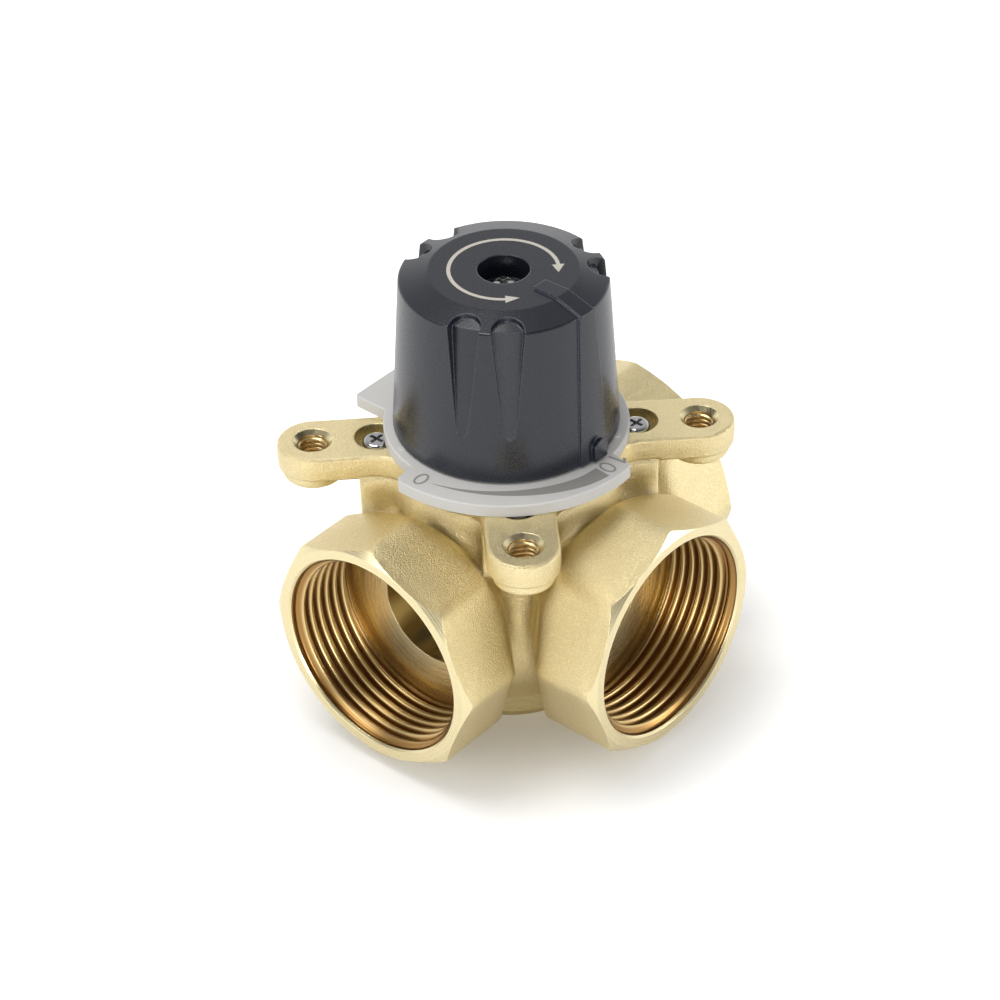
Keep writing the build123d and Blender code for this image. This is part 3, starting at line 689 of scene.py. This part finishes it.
class VALVE_OT_dial(bpy.types.Operator):
    """Colour the dial plate and print its scale from 0 to 10"""

    bl_idname = "valve.dial"
    bl_label = "Dial"

    def execute(self, context):
        finish = context.scene.valve_dial
        dress_slot(
            "dial_plastic", moulded_plastic, finish.plate, 0.3 * mm, roughness=0.48, edge_gain=0.12
        )
        ink = print_material("dial_print", finish.print)
        layer = print_layer(dial_top, finish.print_height)

        mesh = bmesh.new()
        for degrees in nought_angles:
            self.nought(mesh, finish, degrees, layer)
        self.one(mesh, finish, one_angle, layer)
        self.wedge(mesh, finish, layer)
        piece_from("dial_scale", mesh, ink, "valve", smooth=False)
        return {"FINISHED"}

    def nought(self, mesh, finish, degrees, layer):
        points = 40
        lines = []
        for inset in (0, finish.stroke):
            half_width = finish.number_width / 2 - inset
            half_height = finish.number_height / 2 - inset
            turns = [tau * point / points for point in range(points)]
            around = [(half_width * cos(turn), half_height * sin(turn)) for turn in turns]
            lines.append([on_dial(degrees, finish.middle, *point) for point in around])
        printed_strip(mesh, *lines, layer, closed=True)

    def one(self, mesh, finish, degrees, layer):
        """A stem, and a flag that slants down from its top."""
        top, edge = finish.number_height / 2, finish.stroke / 2
        flag_end, flag_slant = -1.25 * mm, 0.75 * mm
        stem_height, tip_height = 0.75 * mm, 0.55 * mm
        stem = ((edge, top), (edge, -top)), ((-edge, top), (-edge, -top))
        flag_above = (-edge, top), (flag_end, top - flag_slant)
        flag_below = (-edge, top - stem_height), (flag_end, top - flag_slant - tip_height)
        for strip in (stem, (flag_above, flag_below)):
            lines = [[on_dial(degrees, finish.middle, *point) for point in line] for line in strip]
            printed_strip(mesh, *lines, layer)

    def wedge(self, mesh, finish, layer):
        """Band that starts as a point at 0 and widens to its full width at 10."""
        steps, bow_speed = 48, 1.15
        start, end = wedge_angles
        outer, inner = [], []
        for step in range(steps + 1):
            share = step / steps
            degrees = start + (end - start) * share
            half = finish.wedge_width / 2 * share
            bow = finish.wedge_bow * sin(pi * min(share * bow_speed, 1))
            middle = finish.middle - bow + finish.wedge_lift * share
            outer.append(polar(middle + half, degrees))
            inner.append(polar(middle - half, degrees))
        printed_strip(mesh, outer, inner, layer)


class VALVE_OT_knob(bpy.types.Operator):
    """Colour the knob's moulded shell and print a turning arrow on its crown"""

    bl_idname = "valve.knob"
    bl_label = "Knob"

    def execute(self, context):
        finish = context.scene.valve_knob
        dress_slot(
            "knob_plastic",
            moulded_plastic,
            finish.shell,
            finish.grain,
            roughness=0.24,
            edge_gain=3.0,
            rounding=0.4 * mm,
            gloss=0.62,
        )
        ink = print_material("crown_print", finish.print)
        mesh = self.arrow(finish, print_layer(crown_top, finish.print_height))
        piece_from("crown_arrow", mesh, ink, "rotor", smooth=False)
        return {"FINISHED"}

    def arrow(self, finish, layer):
        """An arc round the crown with an arrowhead at each end."""
        steps, tip_turn, head_ratio, same_place = 72, 15, 3.2, 1e-7
        radius, half_width = finish.arrow_radius, finish.arrow_width / 2
        first = arrow_middle_angle - arrow_half_angle
        last = arrow_middle_angle + arrow_half_angle
        turns = [first + (last - first) * step / steps for step in range(steps + 1)]
        mesh = bmesh.new()
        outer = [polar(radius + half_width, degrees) for degrees in turns]
        inner = [polar(radius - half_width, degrees) for degrees in turns]
        printed_strip(mesh, outer, inner, layer)
        head = head_ratio * half_width
        for end, way in ((first, -1), (last, 1)):
            tip = polar(radius, end + way * tip_turn)
            sides = (polar(radius + head, end), tip), (polar(radius - head, end), tip)
            printed_strip(mesh, *sides, layer)
        bmesh.ops.remove_doubles(mesh, verts=mesh.verts, dist=same_place)
        return mesh


class VALVE_OT_screws(bpy.types.Operator):
    """Plate the screws, the stop pin and the retaining clip"""

    bl_idname = "valve.screws"
    bl_label = "Screws and Clip"

    def execute(self, context):
        finish = context.scene.valve_metal
        dress_slot("screw_chrome", plated_metal, finish.chrome, roughness=0.05)
        dress_slot("pin_steel", plated_metal, finish.steel, roughness=0.24)
        return {"FINISHED"}


class VALVE_OT_inner_parts(bpy.types.Operator):
    """Give the slide, the shaft, the bearings and the rings their materials"""

    bl_idname = "valve.inner_parts"
    bl_label = "Inner Parts"

    def execute(self, context):
        finish = context.scene.valve_inner
        slide = context.scene.valve_metal.slide
        dress_slot("slide_brass", plated_metal, slide, roughness=0.48)
        # Slot, colour, size of the grain, roughness and gain of the painted edge highlight
        plastics = (
            ("shaft_plastic", finish.shaft, 0.3 * mm, 0.42, 0.3),
            ("bearing_plastic", finish.bearing, 0.25 * mm, 0.36, 0.3),
            ("rubber_ring", finish.rubber, 0.2 * mm, 0.34, 0.2),
        )
        for slot, *look in plastics:
            dress_slot(slot, moulded_plastic, *look)
        return {"FINISHED"}


class VALVE_OT_studio(bpy.types.Operator):
    """Set the floor, the lamps and the camera"""

    bl_idname = "valve.studio"
    bl_label = "Studio"

    def execute(self, context):
        settings = context.scene.valve_studio
        self.floor(settings)
        self.sky(context.scene, settings)
        lamps = {
            "above": ((-0.15, 0.20, 0.95), 0.5),
            "left": ((-1.0, 0.30, 0.35), 0.5),
            "right": ((0.68, -0.92, 0.22), 0.5),
            "front": ((-0.80, -0.72, 0.20), 0.4),
        }
        for name, (place, size) in lamps.items():
            self.lamp(f"lamp_{name}", place, size, getattr(settings, name))
        self.camera(context.scene)
        context.scene.view_settings.view_transform = "Standard"
        return {"FINISHED"}

    def floor(self, settings):
        """Pale floor that shines by itself for the camera, and more weakly in mirroring faces; its glow
        is held down near the valve, which paints a shadow round it.
        """
        reach, squares = 3, 8
        near, far, painted_shadow_glow, bright = 0.02, 0.08, 0.07, 0.62
        mirrored_share = 0.65

        mesh = bmesh.new()
        bmesh.ops.create_grid(mesh, x_segments=squares, y_segments=squares, size=reach)
        data = bpy.data.meshes.new("floor")
        mesh.to_mesh(data)
        mesh.free()
        fixed = {
            "Base Color": settings.floor,
            "Roughness": 0.9,
            "Specular IOR Level": 0,
            "Emission Color": (1, 1, 1),
        }
        material, graph, shader = new_material("studio_floor", fixed)
        rays = graph.add("LightPath").outputs
        distance = graph.add("VectorMath", {0: graph.place()}, operation="LENGTH").outputs["Value"]
        # Glow dim near the valve and bright further out: partly a painted shadow round the valve, partly
        # the white backdrop
        backdrop_and_painted_shadow = graph.spread(distance, near, far, painted_shadow_glow, bright)
        mirrored = graph.times(rays["Is Glossy Ray"], mirrored_share)
        shown = graph.larger(rays["Is Camera Ray"], mirrored)
        graph.feed(shader["Emission Strength"], graph.times(shown, backdrop_and_painted_shadow))
        data.materials.append(material)
        floor = bpy.data.objects.new("floor", data)
        bpy.context.scene.collection.objects.link(floor)
        floor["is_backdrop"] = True

    def sky(self, scene, settings):
        """White for the camera, even light for dull faces, and in mirroring faces a wall.

        The wall is bright behind the valve and low down.
        """
        wall_way = (0.75, 0.66, 0)
        away, towards, wall_dim, wall_bright = -0.3, 0.8, 0.35, 1.4
        low, high, overhead = 0.1, 0.7, 0.35

        world = bpy.data.worlds.new("studio_sky")
        world.use_nodes = True
        world.node_tree.nodes.clear()
        graph = Graph(world.node_tree)
        rays = graph.add("LightPath").outputs
        shown = graph.any_of(rays["Is Camera Ray"], rays["Is Glossy Ray"], rays["Is Transmission Ray"])
        way = graph.add("TexCoord").outputs["Generated"]
        rise = graph.add("SeparateXYZ", {"Vector": way}).outputs["Z"]
        side = graph.spread(graph.dot(way, wall_way), away, towards, wall_dim, wall_bright)
        wall = graph.times(side, graph.spread(rise, low, high, 1, overhead))
        wall = graph.larger(wall, rays["Is Camera Ray"])
        strength = graph.spread(shown, 0, 1, settings.sky, wall)
        sky = graph.add("Background", {"Color": (1, 1, 1), "Strength": strength})
        graph.add("OutputWorld", {"Surface": sky.outputs[0]})
        scene.world = world

    def lamp(self, name, place, size, power):
        target = Vector((0, 0, 0.04))
        data = bpy.data.lights.new(name, "AREA")
        data.shape = "SQUARE"
        data.size = size
        data.energy = power
        lamp = bpy.data.objects.new(name, data)
        lamp.location = place
        lamp.rotation_euler = (target - lamp.location).to_track_quat("-Z", "Y").to_euler()
        bpy.context.scene.collection.objects.link(lamp)

    def camera(self, scene):
        """The photograph's viewpoint: azimuth, elevation and roll of the lens, and where it stands."""
        azimuth, elevation, roll = radians(-49.08), radians(36.52), radians(-1.17)
        place = Vector((-408.29, -351.87, 439.35)) * mm
        focal_pixels, image_width, sensor_width = 3400.29, 1000, 36
        nearest, furthest = 0.05, 20

        back = Vector((sin(azimuth) * cos(elevation), -cos(azimuth) * cos(elevation), sin(elevation)))
        level = Vector((cos(azimuth), sin(azimuth), 0))
        upright = back.cross(level)
        right = level * cos(roll) + upright * sin(roll)
        up = upright * cos(roll) - level * sin(roll)
        data = bpy.data.cameras.new("camera")
        data.sensor_width = sensor_width
        data.lens = focal_pixels / image_width * sensor_width
        data.clip_start, data.clip_end = nearest, furthest
        camera = bpy.data.objects.new("camera", data)
        camera.matrix_world = Matrix.Translation(place) @ Matrix((right, up, back)).transposed().to_4x4()
        scene.collection.objects.link(camera)
        scene.camera = camera


class VALVE_PT_finish(bpy.types.Panel):
    """Buttons for every step of the finish"""

    bl_label = "Rotary Valve"
    bl_idname = "VALVE_PT_finish"
    bl_space_type = "VIEW_3D"
    bl_region_type = "UI"
    bl_category = "Valve"

    def draw(self, context):
        for step in steps:
            self.layout.operator(step.bl_idname)
        for group in groups:
            settings = getattr(context.scene, group)
            box = self.layout.box()
            for name in settings.bl_rna.properties.keys():
                if name not in ("rna_type", "name"):
                    box.prop(settings, name)


groups = {
    "valve_brass": BrassFinish,
    "valve_threads": ThreadSizes,
    "valve_dial": DialFinish,
    "valve_knob": KnobFinish,
    "valve_metal": MetalFinish,
    "valve_inner": InnerFinish,
    "valve_studio": Studio,
}
steps = (
    VALVE_OT_brass,
    VALVE_OT_port_threads,
    VALVE_OT_lug_threads,
    VALVE_OT_dial,
    VALVE_OT_knob,
    VALVE_OT_screws,
    VALVE_OT_inner_parts,
    VALVE_OT_studio,
)


def register():
    for part in (*groups.values(), *steps, VALVE_PT_finish):
        bpy.utils.register_class(part)
    for name, group in groups.items():
        setattr(bpy.types.Scene, name, PointerProperty(type=group))


def unregister():
    for name in groups:
        delattr(bpy.types.Scene, name)
    for part in reversed((*groups.values(), *steps, VALVE_PT_finish)):
        bpy.utils.unregister_class(part)


def main():
    register()
    for step in steps:
        family, action = step.bl_idname.split(".")
        getattr(getattr(bpy.ops, family), action)()
    boxes = {"cad": cad_box, "visual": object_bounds()}
    boxes = {name: [list(corner) for corner in box] for name, box in boxes.items()}


if __name__ == "__main__":
    main()
